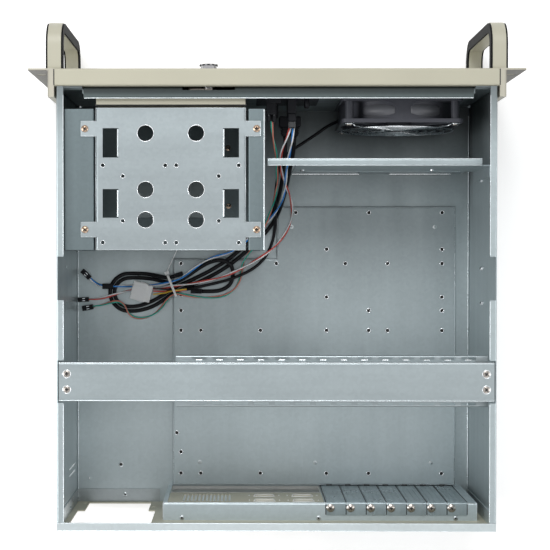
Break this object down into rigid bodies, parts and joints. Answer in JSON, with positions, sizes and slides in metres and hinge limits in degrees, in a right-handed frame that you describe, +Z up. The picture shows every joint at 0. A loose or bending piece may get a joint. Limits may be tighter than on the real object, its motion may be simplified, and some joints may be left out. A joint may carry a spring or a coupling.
{
  "type": "rackmount server case",
  "caption": "Empty four-unit rackmount server case with its cover off: drive cage, crossbar, fan wall, raised board tray, rear slot recess and front handles.",
  "frame": {"origin": "bottom centre of the whole object's box, handles included", "axes": "+X towards the drive cage's side wall, +Y from the front panel to the rear panel, +Z up out of the open top"},
  "size_m": [0.4826, 0.498, 0.177],
  "materials": {
    "zinc_steel": "zinc-plated sheet steel, satin",
    "slot_steel": "plated steel, satin",
    "steel_sheet": "plated thin sheet",
    "beige_paint": "fine powder coat",
    "beige_handle": "smooth powder coat",
    "black_plastic": "matt moulded",
    "beige_plastic": "matt moulded",
    "nickel": "nickel plated",
    "lock_chrome": "polished",
    "button_plastic": "matt moulded",
    "lamp_lens": "clear tinted lens",
    "cord_black": "soft vinyl",
    "wire_vinyl": "thin coloured vinyl",
    "white_nylon": "moulded nylon"
  },
  "bodies": {
    "case": {"bar_bracket_left": "zinc_steel", "bar_bracket_right": "zinc_steel", "bar_screws": "nickel", "bay_cover_bottom": "beige_plastic", "bay_cover_middle": "beige_plastic", "bay_cover_top": "beige_plastic", "bracket_screws": "nickel", "cable_tie": "white_nylon", "card_hold_rail": "zinc_steel", "chassis_shell": "zinc_steel", "control_plate": "black_plastic", "crossbar": "zinc_steel", "divider": "zinc_steel", "door_hinge_pins": "steel_sheet", "drive_bracket": "zinc_steel", "drive_cage": "zinc_steel", "fan_frame": "black_plastic", "fan_guard": "nickel", "fan_lead": "cord_black", "fan_screws": "nickel", "front_panel": "beige_paint", "front_rail": "zinc_steel", "front_wall": "zinc_steel", "handle_left": "beige_handle", "handle_right": "beige_handle", "handle_trim_left": "black_plastic", "handle_trim_right": "black_plastic", "header_plugs": "black_plastic", "indicator_lights": "lamp_lens", "io_panel": "beige_paint", "io_shield": "steel_sheet", "light_wires": "wire_vinyl", "motherboard_tray": "zinc_steel", "power_connector": "white_nylon", "power_switch": "black_plastic", "rack_ear_left": "beige_paint", "rack_ear_right": "beige_paint", "rear_frame": "zinc_steel", "rear_panel": "beige_paint", "reset_switch": "black_plastic", "slot_cover_1": "slot_steel", "slot_cover_2": "slot_steel", "slot_cover_3": "slot_steel", "slot_cover_4": "slot_steel", "slot_cover_5": "slot_steel", "slot_cover_6": "slot_steel", "slot_cover_7": "slot_steel", "slot_frame": "zinc_steel", "slot_screws": "nickel", "switch_wires": "wire_vinyl", "usb_cables": "cord_black", "usb_plugs": "black_plastic", "usb_ports": "steel_sheet"},
    "door": {"front_door": "beige_paint", "lock_body": "lock_chrome"},
    "lock": {"lock_plug": "lock_chrome", "lock_cam": "steel_sheet"},
    "power_key": {"power_button": "button_plastic"},
    "reset_key": {"reset_button": "button_plastic"},
    "rotor": {"fan_rotor": "black_plastic"}
  },
  "joints": [
    {"name": "door_hinge", "type": "hinge", "parent": "case", "child": "door", "pos_m": [0, -0.196, 0.017], "axis": [1, 0, 0], "range_deg": [0, 90]},
    {"name": "lock_turn", "type": "hinge", "parent": "door", "child": "lock", "pos_m": [0.0663, -0.184, 0.1515], "axis": [0, -1, 0], "range_deg": [0, 90]},
    {"name": "power_press", "type": "slide", "parent": "case", "child": "power_key", "axis": [0, 1, 0], "range_m": [0, 0.0025], "stiffness_N_per_m": 400},
    {"name": "reset_press", "type": "slide", "parent": "case", "child": "reset_key", "axis": [0, 1, 0], "range_m": [0, 0.0025], "stiffness_N_per_m": 250},
    {"name": "fan_spin", "type": "hinge", "parent": "case", "child": "rotor", "pos_m": [-0.1255, -0.164, 0.086], "axis": [0, 1, 0], "continuous": true}
  ]
}
